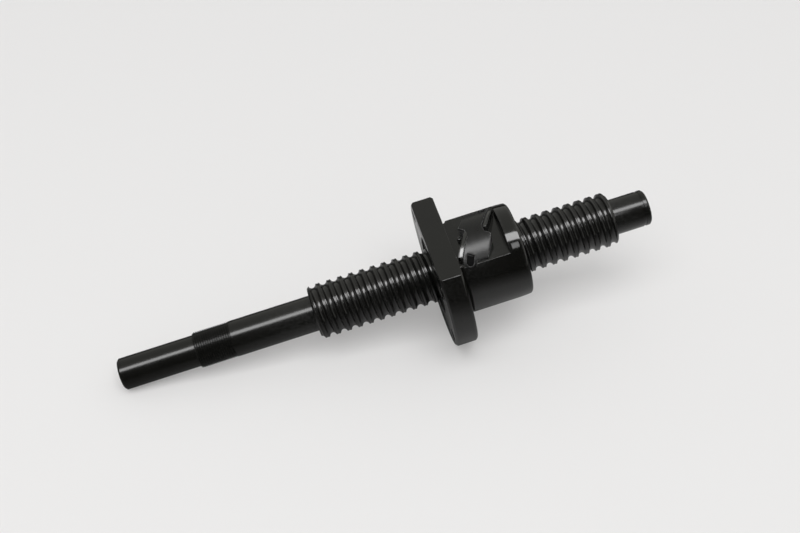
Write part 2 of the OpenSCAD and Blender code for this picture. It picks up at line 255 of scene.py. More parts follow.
# The cap's pale edge tone is partly wear and partly a painted highlight on its rounded edges.
moulded_cap = finish(
    "cap_moulding", (0.0030, 0.0030, 0.0029), (0.0060, 0.0060, 0.0058), (0.26, 0.34),
    grain, 1800.0, 0.008, wear_and_sheen=1.0, wear_and_sheen_tone=0.20, ior=1.5)
# Painted shade: the inserts' near-black, barely reflecting finish stands in for the dark inside of
# the window openings.
painted_shade_insert = finish(
    "window_insert", (0.0030, 0.0030, 0.0030), (0.0060, 0.0060, 0.0060), (0.6, 0.7),
    grain, 2600.0, 0.01, ior=1.12)
clip_finish = finish(
    "clip_oxide", (0.0050, 0.0050, 0.0046), (0.0080, 0.0080, 0.0072), (0.12, 0.17),
    grain, 1800.0, 0.0010, wear_and_sheen=0.5, wear_and_sheen_tone=0.08, ior=1.9)
wiper_moulding = finish(
    "wiper_moulding", (0.0040, 0.0040, 0.0040), (0.0065, 0.0065, 0.0065), (0.40, 0.55),
    grain, 1500.0, 0.01, ior=1.5)
ball_chrome = finish(
    "ball_steel", (0.55, 0.56, 0.58), (0.62, 0.63, 0.65), (0.08, 0.12),
    grain, 900.0, 0.0002, metallic=1.0, ior=1.5)
print("materials:", len(bpy.data.materials))

# %% [markdown]
# Mesh helpers. A piece is written as points and faces in millimetres. Making it merges what
# coincides, turns the faces outwards, keeps sharp edges sharp and marks the corners for the wear.

# %% Mesh helpers
SHARP_ANGLE = math.radians(32)
WEAR_FROM = math.radians(8)
WEAR_FULL = math.radians(26)


def mark_edges(mesh):
    """Writes the attribute edge: how sharply the faces turn at each vertex, from 0 to 1."""
    bm = bmesh.new()
    bm.from_mesh(mesh)
    turn = np.zeros(len(bm.verts))
    for e in bm.edges:
        if len(e.link_faces) == 2 and e.is_convex:
            bend = e.calc_face_angle(0.0)
            for v in e.verts:
                turn[v.index] = max(turn[v.index], bend)
    bm.free()
    share = np.clip((turn - WEAR_FROM) / (WEAR_FULL - WEAR_FROM), 0, 1)
    attribute = mesh.attributes.new("edge", "FLOAT", "POINT")
    attribute.data.foreach_set("value", share.astype(np.float32))


def tidy_mesh(mesh, merge=0.0005, sharp=SHARP_ANGLE):
    """Merges doubles, faces outwards, shades smooth with sharp edges, and counts open edges."""
    bm = bmesh.new()
    bm.from_mesh(mesh)
    bmesh.ops.remove_doubles(bm, verts=bm.verts, dist=merge * MM)
    bmesh.ops.dissolve_degenerate(bm, edges=bm.edges, dist=merge * MM)
    bmesh.ops.recalc_face_normals(bm, faces=bm.faces)
    open_edges = sum(1 for e in bm.edges if len(e.link_faces) != 2)
    bm.to_mesh(mesh)
    bm.free()
    mark_edges(mesh)
    mesh.shade_smooth()
    mesh.set_sharp_from_angle(angle=sharp)
    return open_edges


def make_mesh(name, points, faces, look):
    """A mesh from points in millimetres."""
    mesh = bpy.data.meshes.new(name)
    mesh.from_pydata([tuple(MM * c for c in p) for p in points], [], faces)
    mesh.materials.append(look)
    return mesh


def place_piece(name, mesh, body, slot, *nodes):
    """Puts a finished mesh into the scene, riding on its body, in place of CAD nodes."""
    piece = bpy.data.objects.new(name, mesh)
    bpy.context.scene.collection.objects.link(piece)
    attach(piece, body)
    if nodes:
        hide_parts(*nodes)
    mesh.calc_loop_triangles()
    print(f"{name}: {len(mesh.loop_triangles)} triangles")
    return piece


# %% Rounded corners for a drawn line
SHARE_OF_SIDE = 0.48


def rounded(points, radius, steps=4, closed=False):
    """Rounds the corners of a line of [a, b] points. radius is one number or one for each point.

    An arc turns the way that the line turns there. This also holds for corners of 90 degrees or
    more, where the arc's start no longer tells the side. It takes up less than half of each side,
    so that two arcs never meet.
    """
    count = len(points)
    line = []
    for i, corner in enumerate(points):
        r = radius[i] if hasattr(radius, "__len__") else radius
        here = np.array(corner, float)
        back = np.array(points[i - 1], float) - here
        on = np.array(points[(i + 1) % count], float) - here
        long_back = np.linalg.norm(back)
        long_on = np.linalg.norm(on)
        half = math.acos(np.clip(back @ on / max(long_back * long_on, 1e-9), -1, 1)) / 2
        at_end = not closed and i in (0, count - 1)
        if at_end or r <= 0 or half > math.radians(89):
            line.append(tuple(here))
            continue
        back, on = back / long_back, on / long_on
        cut = min(r / math.tan(half), SHARE_OF_SIDE * min(long_back, long_on))
        r = cut * math.tan(half)
        centre = here + (back + on) / np.linalg.norm(back + on) * (r / math.sin(half))
        start = here + back * cut - centre
        sweep = math.pi - 2 * half
        side = 1 if back[1] * on[0] - back[0] * on[1] > 0 else -1
        for k in range(steps + 1):
            a = side * sweep * k / steps
            line.append((centre[0] + start[0] * math.cos(a) - start[1] * math.sin(a),
                         centre[1] + start[0] * math.sin(a) + start[1] * math.cos(a)))
    return line


# %% Turned pieces
def turned(name, profile, look, segments=128):
    """A closed round mesh about X from a line of [x, radius] that starts and ends on the axis."""
    points, rows = [], []
    for x, r in profile:
        if r < 1e-6:
            rows.append([len(points)] * segments)
            points.append((x, 0, 0))
            continue
        rows.append(list(range(len(points), len(points) + segments)))
        for k in range(segments):
            a = math.tau * k / segments
            points.append((x, r * math.cos(a), r * math.sin(a)))
    faces = []
    for low, high in zip(rows, rows[1:]):
        for k in range(segments):
            n = (k + 1) % segments
            quad = [low[k], low[n], high[n], high[k]]
            quad = [q for i, q in enumerate(quad) if q != quad[i - 1]]
            if len(quad) > 2:
                faces.append(quad)
    mesh = make_mesh(name, points, faces, look)
    tidy_mesh(mesh)
    return mesh


# %% [markdown]
# Both threads follow the same rule: a groove of one section that moves one lead along X for each
# turn. A Geometry Nodes tree makes them. It starts from a flat grid whose long side counts turns
# and whose short side is the section, and moves each point to its place on the helix. Points
# past either end are clamped to it and merged, so the thread starts and stops square.

# %% Geometry Nodes tree: a helical thread
THREAD_MERGE = 0.002
thread_tree, t_in, t_out = blank_group(
    "HelicalThread", "GeometryNodeTree",
    [("Lead", FLOAT, 0.005), ("Phase", FLOAT, 0.0), ("Start", FLOAT, 0.0), ("End", FLOAT, 0.1),
     ("Crest Radius", FLOAT, 0.012), ("Groove Centre", FLOAT, 0.0122),
     ("Groove Radius", FLOAT, 0.0017), ("Arch Offset", FLOAT, 0.0001),
     ("Seam Depth", FLOAT, 0.0001), ("Seam Width", FLOAT, 0.0004), ("Rounding", FLOAT, 0.0002),
     ("Chamfer", FLOAT, 0.001), ("First Turn", INT, 0), ("Turns", INT, 10),
     ("Steps", INT, 1000), ("Rows", INT, 24), ("Material", "NodeSocketMaterial", None)],
    [("Geometry", "NodeSocketGeometry")])
given = {socket.name: socket for socket in t_in.outputs}


def t(operation, *values):
    """One Math node of the thread tree."""
    return calc(thread_tree, operation, *values)


def helix_place(grid_place):
    """From a point of the flat grid to its place on the thread."""
    lead = given["Lead"]
    flat = add_node(thread_tree, "ShaderNodeSeparateXYZ", {0: grid_place})
    turn = t("ADD", t("ADD", flat.outputs[0], t("MULTIPLY", given["Turns"], 0.5)),
             given["First Turn"])
    centre = t("ADD", given["Phase"], t("MULTIPLY", turn, lead))
    wanted = t("ADD", centre, t("MULTIPLY", flat.outputs[1], lead))
    x = t("MINIMUM", t("MAXIMUM", wanted, given["Start"]), given["End"])
    steps_off = t("DIVIDE", t("SUBTRACT", x, centre), lead)
    folded = t("SUBTRACT", steps_off, t("ROUND", steps_off))
    off = t("MULTIPLY", t("ABSOLUTE", folded), lead)
    reach = t("ADD", off, given["Arch Offset"])
    drop = t("SUBTRACT", t("POWER", given["Groove Radius"], 2.0), t("POWER", reach, 2.0))
    groove = t("SUBTRACT", given["Groove Centre"], t("SQRT", t("MAXIMUM", drop, 0.0)))
    to_seam = t("SUBTRACT", t("MULTIPLY", lead, 0.5), off)
    seam = add_node(thread_tree, "ShaderNodeMapRange", {
        "Value": to_seam, "From Min": 0.0, "From Max": given["Seam Width"],
        "To Min": given["Seam Depth"], "To Max": 0.0}, interpolation_type="SMOOTHSTEP")
    land = t("SUBTRACT", given["Crest Radius"], seam.outputs[0])
    soft = t("SMOOTH_MIN", groove, land, given["Rounding"])
    top = t("SUBTRACT", given["Crest Radius"], given["Chamfer"])
    rise = t("ADD", top, t("SUBTRACT", x, given["Start"]))
    fall = t("ADD", top, t("SUBTRACT", given["End"], x))
    radius = t("SMOOTH_MIN", soft, t("MINIMUM", rise, fall), given["Rounding"])
    angle = t("MULTIPLY", turn, math.tau)
    y = t("MULTIPLY", radius, t("COSINE", angle))
    z = t("MULTIPLY", radius, t("SINE", angle))
    return add_node(thread_tree, "ShaderNodeCombineXYZ", {0: x, 1: y, 2: z}).outputs[0]


grid = add_node(thread_tree, "GeometryNodeMeshGrid", {
    "Size X": given["Turns"], "Size Y": 1.0,
    "Vertices X": given["Steps"], "Vertices Y": given["Rows"]})
moved = add_node(thread_tree, "GeometryNodeSetPosition", {
    "Geometry": grid.outputs[0],
    "Position": helix_place(add_node(thread_tree, "GeometryNodeInputPosition").outputs[0])})
merged = add_node(thread_tree, "GeometryNodeMergeByDistance", {
    "Geometry": moved.outputs[0], "Distance": THREAD_MERGE * MM})
real = add_node(thread_tree, "GeometryNodeRealizeInstances", {0: merged.outputs[0]})
dressed = add_node(thread_tree, "GeometryNodeSetMaterial", {
    "Geometry": real.outputs[0], "Material": given["Material"]})
thread_tree.links.new(dressed.outputs[0], t_out.inputs[0])


# %% From the tree to a closed mesh
def thread_mesh(name, look, steps_per_turn, **sizes):
    """Evaluates the thread tree, closes both ends with a fan, and gives a plain mesh."""
    lead, phase = sizes["Lead"], sizes["Phase"]
    first = math.floor((sizes["Start"] - phase) / lead) - 1
    turns = math.ceil((sizes["End"] - phase) / lead) + 1 - first
    values = {key: MM * value for key, value in sizes.items() if key != "Rows"}
    values.update({
        "First Turn": first, "Turns": turns, "Steps": turns * steps_per_turn + 1,
        "Rows": sizes["Rows"] + 1, "Material": look})
    holder = bpy.data.objects.new(name, bpy.data.meshes.new(name))
    bpy.context.scene.collection.objects.link(holder)
    modifier = holder.modifiers.new("thread", "NODES")
    modifier.node_group = thread_tree
    for item in thread_tree.interface.items_tree:
        if item.item_type == "SOCKET" and item.in_out == "INPUT":
            modifier[item.identifier] = values[item.name]
    graph = bpy.context.evaluated_depsgraph_get()
    mesh = bpy.data.meshes.new_from_object(holder.evaluated_get(graph))
    bpy.data.objects.remove(holder)
    mesh.name = name
    close_ends(mesh)
    mesh.materials.clear()
    mesh.materials.append(look)
    mesh.polygons.foreach_set("material_index", np.zeros(len(mesh.polygons), dtype=np.int32))
    left = tidy_mesh(mesh, merge=THREAD_MERGE, sharp=math.radians(50))
    print(f"{name}: {turns} turns, {left} open edges")
    return mesh


def close_ends(mesh):
    """Joins each open loop to a point on the axis."""
    bm = bmesh.new()
    bm.from_mesh(mesh)
    rim = [e for e in bm.edges if len(e.link_faces) == 1]
    spots = {}
    for e in rim:
        x = round(e.verts[0].co.x / MM, 1)
        if x not in spots:
            spots[x] = bm.verts.new((e.verts[0].co.x, 0, 0))
        bm.faces.new((e.verts[0], e.verts[1], spots[x]))
    bm.to_mesh(mesh)
    bm.free()


# %% [markdown]
# The ball thread is rolled: two dies squeeze the bar, so the groove is a gothic arch a little
# wider than the ball, and the metal that is pushed up leaves a shallow seam along each crest.
# The lock nut's fine thread comes from the same tree with a 1 mm lead. Its arc is wide and its
# centre far out, which leaves a shallow groove with a narrow flat crest.

# %% The ball thread
ball_thread = thread_mesh(
    "ball_thread", rolled_steel, 80, Lead=LEAD, Phase=GROOVE_PHASE, Start=0.0, End=THREAD_END,
    **{"Crest Radius": CREST_R, "Groove Centre": 12.28, "Groove Radius": 1.72,
       "Arch Offset": 0.08, "Seam Depth": 0.16, "Seam Width": 0.5, "Rounding": 0.16,
       "Chamfer": 1.0, "Rows": 32})
place_piece("ball_thread", ball_thread, "screw", "blackened_steel", "screw_shaft")

# %% The fine lock nut thread
fine_thread = thread_mesh(
    "fine_thread", ground_steel, 64, Lead=1.0, Phase=0.0, Start=LOCK_THREAD_X,
    End=0.4 - SEAT_LENGTH,
    **{"Crest Radius": 7.98, "Groove Centre": 8.32, "Groove Radius": 0.943,
       "Arch Offset": 0.472, "Seam Depth": 0.0, "Seam Width": 0.1, "Rounding": 0.03,
       "Chamfer": 0.3, "Rows": 12})
place_piece("fine_thread", fine_thread, "screw", "blackened_steel")

# %% [markdown]
# The plain ends of the screw are turned and ground: journal, core of the fine thread, run-out
# groove and bearing seat on the long end, and a short journal with a retaining ring groove on
# the other. One lathe profile each, with small rounded corners that catch the light.

# %% The two turned ends
JOURNAL_R = 7.0
SEAT_R = 8.0
END_CHAMFER = 0.8
SEAT_CHAMFER = 0.25
CORE_R = 7.2
RUN_OUT_R = 7.3
RUN_OUT_X = -SEAT_LENGTH - 0.2
INTO_THREAD = 1.5
GROOVE_X = 150.5
GROOVE_WIDTH = 1.1
GROOVE_R = 7.6
drive_end = turned("drive_end", rounded([
    (SCREW_X0, 0), (SCREW_X0, JOURNAL_R - END_CHAMFER), (SCREW_X0 + END_CHAMFER, JOURNAL_R),
    (LOCK_THREAD_X, JOURNAL_R), (LOCK_THREAD_X, CORE_R), (RUN_OUT_X, CORE_R),
    (RUN_OUT_X, RUN_OUT_R), (-SEAT_LENGTH, RUN_OUT_R), (-SEAT_LENGTH, SEAT_R - SEAT_CHAMFER),
    (-SEAT_LENGTH + SEAT_CHAMFER, SEAT_R), (INTO_THREAD, SEAT_R), (INTO_THREAD, 0)],
    [0, 0.2, 0.25, 0, 0, 0, 0, 0.1, 0.08, 0.12, 0, 0]), ground_steel)
place_piece("drive_end", drive_end, "screw", "blackened_steel")
support_end = turned("support_end", rounded([
    (THREAD_END - INTO_THREAD, 0), (THREAD_END - INTO_THREAD, SEAT_R), (GROOVE_X, SEAT_R),
    (GROOVE_X, GROOVE_R), (GROOVE_X + GROOVE_WIDTH, GROOVE_R), (GROOVE_X + GROOVE_WIDTH, SEAT_R),
    (SCREW_X1 - END_CHAMFER, SEAT_R), (SCREW_X1, SEAT_R - END_CHAMFER), (SCREW_X1, 0)],
    [0, 0, 0.06, 0.1, 0.1, 0.06, 0.25, 0.2, 0]), ground_steel)
place_piece("support_end", support_end, "screw", "blackened_steel")

# %% [markdown]
# The nut body is one turned blank with flats milled on it. A lathe profile can't hold a flat and
# a plain cut would leave it razor sharp, so each ring of the mesh is a circle cut off by a flat.
# Flange, body and end ring are then one closed grid, and round and flat blend in a small soft
# edge in every ring. The points of a ring stand closer together near 45 degrees, where that edge
# lies. The bolt holes and the pockets under the return cap are cut afterwards.

# %% Angles of the nut's rings
def spaced(start, stop, step):
    """Even steps from start to just before stop."""
    return list(np.arange(start, stop - step / 2, step))


half_turn = (spaced(0, 42, 3) + spaced(42, 43.5, 0.5) + spaced(43.5, 48.5, 0.25)
             + spaced(48.5, 51, 0.5) + spaced(51, 181, 1.5))
ring_angles = np.radians(np.array(
    sorted(set([round(a, 4) for a in half_turn] + [round(-a, 4) for a in half_turn if a < 180]))))
ring_angles = ring_angles[ring_angles > -math.pi + 1e-6]
print("points in each ring:", len(ring_angles))

# %% A ring's radius at each angle
# Past LEAST_LEAN a ring's point can't meet the flat, which is then FAR away.
FLANGE_SOFTNESS = 0.22
BODY_SOFTNESS = 0.05
FAR = 1000.0
LEAST_LEAN = 0.05


def soft_least(a, b, width):
    """The smaller of two lengths, with a soft blend where they cross."""
    near = np.maximum(width - np.abs(a - b), 0)
    return np.minimum(a, b) - near * near / (4 * width)


def d_section(r, flat):
    """Radius at each angle of a circle that is cut off by a flat at this height."""
    softness = FLANGE_SOFTNESS if flat and flat > BODY_R else BODY_SOFTNESS
    round_part = np.full(len(ring_angles), float(r)) if np.isscalar(r) else r
    if flat is None:
        return round_part
    lean = np.cos(ring_angles)
    to_flat = np.where(lean > LEAST_LEAN, flat / np.maximum(lean, LEAST_LEAN), FAR)
    return soft_least(round_part, to_flat, softness)


# %% The chamfered rims of the flange
# Depth from the face, and how far the round and the flat are cut back at that depth
RIM = [(0.0, 1.05, 0.3), (0.07, 0.88, 0.14), (0.2, 0.7, 0.02), (0.35, 0.55, 0.0),
       (0.76, 0.16, 0.0), (0.9, 0.05, 0.0), (1.1, 0.0, 0.0)]


def flange_face(x, inward):
    """The rings over one rim, from the face inwards."""
    return [(x + inward * depth, FLANGE_R - round_cut, FLANGE_FLAT - flat_cut)
            for depth, round_cut, flat_cut in RIM]


# %% The nut body's rings
# in_flat is 0 on the body's round and 1 over its flat, with a smooth step at the flat's border.
IN_FLAT_FROM = 20.6
IN_FLAT_WIDTH = 0.4
in_flat = np.clip((IN_FLAT_FROM - d_section(BODY_R + 0.8, BODY_FLAT)) / IN_FLAT_WIDTH, 0, 1)
in_flat = in_flat * in_flat * (3 - 2 * in_flat)
RING_BREAK = 0.25
ring_step = BODY_R - RING_BREAK * in_flat
nut_rings = [
    (NUT_X0 + 0.35, WIPER_SEAT_R, None), (NUT_X0, WIPER_SEAT_R + 0.35, None),
    *flange_face(NUT_X0, 1), *reversed(flange_face(FLANGE_X1, -1)),
    (FLANGE_X1, BODY_R + 1.0, BODY_FLAT),
    (FLANGE_X1 - 0.04 * (1 - in_flat), BODY_R + 0.65, BODY_FLAT),
    (FLANGE_X1 - 0.3 * (1 - in_flat), UNDERCUT_R, BODY_FLAT),
    (FLANGE_X1 + 1.4, UNDERCUT_R, BODY_FLAT), (FLANGE_X1 + 1.55, UNDERCUT_R + 0.07, BODY_FLAT),
    (FLANGE_X1 + 2.2, BODY_R - 0.08, BODY_FLAT), (FLANGE_X1 + 2.45, BODY_R, BODY_FLAT),
    (RING_X0 - 0.15, BODY_R, BODY_FLAT), (RING_X0, BODY_R, BODY_FLAT + 0.12),
    (RING_X0, ring_step, None), (RING_X0 + 0.07, ring_step + 0.17 * in_flat, None),
    (RING_X0 + 0.25, BODY_R, None), (RING_X0 + 1.5, BODY_R - 0.02, None),
    (RING_X0 + 3.0, BODY_R - 0.07, None), (RING_X0 + 4.5, BODY_R - 0.16, None),
    (NUT_X1 - 0.9, BODY_R - 0.24, None), (NUT_X1 - 0.6, BODY_R - 0.36, None),
    (NUT_X1 - 0.15, BODY_R - 0.8, None), (NUT_X1, BODY_R - 1.0, None),
    (NUT_X1, WIPER_SEAT_R + 0.35, None), (NUT_X1 - 0.35, WIPER_SEAT_R, None),
    (NUT_X1 - WIPER_SEAT_DEPTH, WIPER_SEAT_R, None), (NUT_X1 - WIPER_SEAT_DEPTH, BORE_R, None),
    (NUT_X0 + WIPER_SEAT_DEPTH, BORE_R, None), (NUT_X0 + WIPER_SEAT_DEPTH, WIPER_SEAT_R, None)]


def ringed(name, rings, look):
    """A closed mesh from rings of (x, radius, flat), joined in order and back to the first."""
    count = len(ring_angles)
    points = []
    for x, r, flat in rings:
        radii = d_section(r, flat)
        places = np.broadcast_to(x, count)
        points += list(zip(places, radii * np.sin(ring_angles), radii * np.cos(ring_angles)))
    faces = []
    for i in range(len(rings)):
        low, high = i * count, (i + 1) % len(rings) * count
        for k in range(count):
            n = (k + 1) % count
            faces.append((low + k, low + n, high + n, high + k))
    mesh = make_mesh(name, points, faces, look)
    left = tidy_mesh(mesh)
    print(f"{name}: {left} open edges")
    return mesh


nut_blank = ringed("nut_blank", nut_rings, turned_steel)

# %% [markdown]
# The cap stands on the flat with an oblong leg at each end of its crossing. A leg's direction
# follows from the ball circuit: the balls rise where the circuit ends, and cross the flat in a
# straight line between the two legs. The legs stand two-fold about the cap's middle.

# %% The ball return's crossing
crossing = np.array([CIRCUIT_HALF, PITCH_R])
crossing = crossing / np.linalg.norm(crossing)
beside = np.array([-crossing[1], crossing[0]])
LEG_R = 2.8
LEG_REACH = 0.9
REAR_LEG_OFF = np.array([6.2, PITCH_R + 0.2])
FRONT_LEG = np.array([CAP_X, 0]) - REAR_LEG_OFF
REAR_LEG = np.array([CAP_X, 0]) + REAR_LEG_OFF
print("legs at", np.round(FRONT_LEG, 2), "and", np.round(REAR_LEG, 2), "mm")


def oblong(centre, reach, r, steps=14):
    """A slot's outline round a centre, long side along the crossing, anticlockwise."""
    line = []
    for end, start in ((1, -90), (-1, 90)):
        for k in range(steps + 1):
            a = math.radians(start + 180 * k / steps)
            along = end * reach + r * math.cos(a)
            line.append(tuple(centre + crossing * along + beside * r * math.sin(a)))
    return line


# %% [markdown]
# Cap, inserts and clip bars are all plates whose top lies on a circle about the screw's axis, so
# that the nut still fits its bore. One helper makes them: walls from an outline, a quarter round
# at the top edge, and a flat fill that is bent onto the circle afterwards. The fill is done while
# its border lies flat, because on a border with a step in it some triangles would overlap.

# %% Plates with a curved top
ROUND_STEPS = 4
SLICE = 1.0
TOP_RIM = 0.03
ON_TOP = 0.002


def offset_line(line, distance):
    """Moves a closed outline inwards by a distance. The outline runs anticlockwise."""
    points = np.array(line, float)
    ahead = np.roll(points, -1, 0) - points
    ahead = ahead / np.maximum(np.linalg.norm(ahead, axis=1), 1e-9)[:, None]
    normals = np.stack([-ahead[:, 1], ahead[:, 0]], 1)
    both = normals + np.roll(normals, 1, 0)
    sharpest = 0.4
    long = np.maximum((both * both).sum(1) / 2, sharpest)
    return points + distance * both / long[:, None]


def curved_plate(name, outline, holes, base, top_r, look, edge, hole_edge=0.15):
    """A plate whose top is concentric with the nut. base gives the underside's height at y.

    A narrow rim of TOP_RIM lies inside each rounded edge, and the edge mark is set to 0 on the
    whole top. Without the two, the edge mark, which is wear and on the cap also a painted
    highlight, would run inwards along the fill's long triangles.
    """
    bm = bmesh.new()

    def height(y):
        return math.sqrt(max(top_r * top_r - y * y, 0))

    def wall(line, size, side):
        rows = [[(*p, None) for p in line], [(*p, -size) for p in line]]
        for k in range(1, ROUND_STEPS + 1):
            a = math.pi / 2 * k / ROUND_STEPS
            inner = offset_line(line, side * size * (1 - math.cos(a)))
            rows.append([(*p, -size * (1 - math.sin(a))) for p in inner])
        rows.append([(*p, 0.0) for p in offset_line(line, side * (size + TOP_RIM))])
        made = []
        for row in rows:
            made.append([])
            for x, y, drop in row:
                z = base(y) if drop is None else height(y) + drop
                made[-1].append(bm.verts.new((x, y, z)))
        count = len(line)
        for low, high in zip(made, made[1:]):
            for k in range(count):
                n = (k + 1) % count
                bm.faces.new((low[k], low[n], high[n], high[k]))
        return made[0], made[-1]

    loops = [wall(outline, edge, 1)] + [wall(hole, hole_edge, -1) for hole in holes]
    for level in (0, 1):
        heights = {v: v.co.z for loop in loops for v in loop[level]}
        for v in heights:
            v.co.z = 0.0
        edges = []
        for loop in loops:
            ring = loop[level]
            for k in range(len(ring)):
                edges.append(bm.edges.get((ring[k], ring[(k + 1) % len(ring)])))
        filled = bmesh.ops.triangle_fill(bm, use_beauty=True, edges=edges)
        for v, z in heights.items():
            v.co.z = z
        if level == 1:
            top_faces = [f for f in filled["geom"] if isinstance(f, bmesh.types.BMFace)]
    ys = [v.co.y for f in top_faces for v in f.verts]
    keep = set(top_faces)
    for y in np.arange(math.ceil(min(ys) / SLICE) * SLICE, max(ys), SLICE):
        faces = [f for f in bm.faces if f in keep]
        geom = faces + [e for f in faces for e in f.edges] + [v for f in faces for v in f.verts]
        cut = bmesh.ops.bisect_plane(
            bm, geom=list(dict.fromkeys(geom)), plane_co=(0, y, 0), plane_no=(0, 1, 0))
        keep.update(f for f in cut["geom"] if isinstance(f, bmesh.types.BMFace))
        keep = {f for f in keep if f.is_valid}
    inside = {v for f in keep for v in f.verts}
    for v in inside:
        v.co.z = height(v.co.y)
    for v in bm.verts:
        v.co *= MM
    mesh = bpy.data.meshes.new(name)
    bm.to_mesh(mesh)
    bm.free()
    mesh.materials.append(look)
    left = tidy_mesh(mesh)
    edge_marks = mesh.attributes["edge"].data
    for v in mesh.vertices:
        if abs(v.co.z / MM - height(v.co.y / MM)) < ON_TOP:
            edge_marks[v.index].value = 0.0
    print(f"{name}: {left} open edges")
    return mesh


# %% [markdown]
# Holes and pockets are cut as a machinist does, with a tool of their shape. A Boolean modifier
# with the exact solver does it, and the result is kept as a plain mesh. The wear is measured
# again afterwards, so the old values are dropped first.

# %% Cutting one mesh with others
def cut_away(name, mesh, cutters):
    """Boolean difference with each cutter mesh in turn."""
    body = bpy.data.objects.new(name, mesh)
    bpy.context.scene.collection.objects.link(body)
    helpers = []
    for cutter in cutters:
        helper = bpy.data.objects.new("cutter", cutter)
        bpy.context.scene.collection.objects.link(helper)
        modifier = body.modifiers.new("cut", "BOOLEAN")
        modifier.operation = "DIFFERENCE"
        modifier.solver = "EXACT"
        modifier.object = helper
        helpers.append(helper)
    graph = bpy.context.evaluated_depsgraph_get()
    result = bpy.data.meshes.new_from_object(body.evaluated_get(graph))
    for done in [body, *helpers]:
        bpy.data.objects.remove(done)
    result.attributes.remove(result.attributes["edge"])
    left = tidy_mesh(result)
    print(f"{name}: {left} open edges after cutting")
    return result


# %% [markdown]
# Four bolt holes go through the flange, 60 and 120 degrees from the flat's normal. Each cutter is
# a turned pin with a small cone at both faces, so the holes get a broken edge. The pockets are
# oblong pins a hair larger than the cap's legs.

# %% The bolt holes' cutters
BOLT_R = 28.0
HOLE_R = 2.75
HOLE_BREAK = 0.35
PAST_FACE = 1.0
cone_r = HOLE_R + HOLE_BREAK + PAST_FACE
bolt_cutters = []
for degrees in (60, 120, 240, 300):
    pin = turned("pin", [
        (NUT_X0 - PAST_FACE, 0), (NUT_X0 - PAST_FACE, cone_r), (NUT_X0 + HOLE_BREAK, HOLE_R),
        (FLANGE_X1 - HOLE_BREAK, HOLE_R), (FLANGE_X1 + PAST_FACE, cone_r),
        (FLANGE_X1 + PAST_FACE, 0)], ground_steel, 48)
    a = math.radians(degrees)
    pin.transform(Matrix.Translation((0, BOLT_R * MM * math.sin(a), BOLT_R * MM * math.cos(a))))
    bolt_cutters.append(pin)
print("bolt holes:", len(bolt_cutters))


# %% The pockets' cutters, and the nut body
def oblong_pin(name, leg, r, z0, z1):
    """A plain upright pin with an oblong section."""
    line = oblong(leg, LEG_REACH, r)
    count = len(line)
    points = [(x, y, z0) for x, y in line] + [(x, y, z1) for x, y in line]
    faces = [(k, (k + 1) % count, count + (k + 1) % count, count + k) for k in range(count)]
    faces += [tuple(range(count))[::-1], tuple(range(count, 2 * count))]
    mesh = make_mesh(name, points, faces, turned_steel)
    tidy_mesh(mesh)
    return mesh


LEG_BASE = 12.0
POCKET_FIT = 0.08
ABOVE_NUT = 30.0
pockets = [
    oblong_pin("pocket", leg, LEG_R + POCKET_FIT, LEG_BASE - 0.1, ABOVE_NUT)
    for leg in (FRONT_LEG, REAR_LEG)]
nut_mesh = cut_away("nut_body_piece", nut_blank, bolt_cutters + pockets)
place_piece("nut_shell", nut_mesh, "nut", "blackened_steel", "nut_body")

# %% [markdown]
# The return cap is a plastic moulding that lies on the nut's flat and closes the channel of the
# balls. Its outline has two halves about its middle. They share the round end over a leg and the
# long edge beside it, but each has a notch of its own, where a clip bar lies. The top is
# concentric with the nut, and every edge is a moulded radius.

# %% The return cap's outline
CAP_REACH = 13.65
LEG_POINTS = 25


def half_outline(notch):
    """One side of the cap with its notch, and the leg's round end, about the cap's centre."""
    corners = [(1.4, -CAP_REACH), *notch]
    radii = [0.5, 0.5, 0.36, 0.4, 0.6, 0.5]
    far_end = REAR_LEG_OFF + LEG_REACH * crossing
    for k in range(LEG_POINTS):
        a = math.radians(-90 + 180 * k / (LEG_POINTS - 1))
        corners.append(tuple(far_end + LEG_R * (crossing * math.cos(a) + beside * math.sin(a))))
        radii.append(0)
    return corners + [(3.5, 13.5)], radii + [0.36]


def turned_about(line):
    """A line turned half round about the cap's centre."""
    return [(-x, -y) for x, y in line]


def at_cap(line):
    """From the cap's centre to the model's frame."""
    return [(CAP_X + x, y) for x, y in line]


RIGHT_NOTCH = [(5.85, -4.9), (5.4, -4.15), (3.5, -2.8), (3.35, 0.7), (8.3, 10.1)]
LEFT_NOTCH = [(6.65, -3.3), (6.45, -2.6), (4.5, -0.9), (4.4, 3.0), (8.5, 10.3)]
right_half, half_radii = half_outline(RIGHT_NOTCH)
left_half, half_radii = half_outline(LEFT_NOTCH)
cap_line = at_cap(rounded(right_half + turned_about(left_half), half_radii * 2, closed=True))
print("cap outline:", len(cap_line), "points")

# %% The windows: square towards the cap's middle and round at the far end
WINDOW_R = 1.6
WINDOW_INNER = LEG_REACH + 0.95
WINDOW_CORNER = 0.12
END_STEPS = 18


def window_line(r):
    """The rear window's outline about the cap's centre."""
    line = rounded(
        [(0, r), (-WINDOW_INNER, r), (-WINDOW_INNER, -r), (0, -r)], WINDOW_CORNER)
    for k in range(1, END_STEPS):
        a = math.radians(-90 + 180 * k / END_STEPS)
        line.append((LEG_REACH + r * math.cos(a), r * math.sin(a)))
    return [tuple(REAR_LEG_OFF + s * crossing + n * beside) for s, n in line]


rear_window = window_line(WINDOW_R)
windows = [at_cap(rear_window), at_cap(turned_about(rear_window))]
print("window outline:", len(rear_window), "points")

# %% The cap itself
LEG_ONLY_FROM = 13.35


def cap_base(y):
    """The cap lies on the flat, and its legs reach down into their pockets."""
    return BODY_FLAT - SUNK if abs(y) < LEG_ONLY_FROM else LEG_BASE


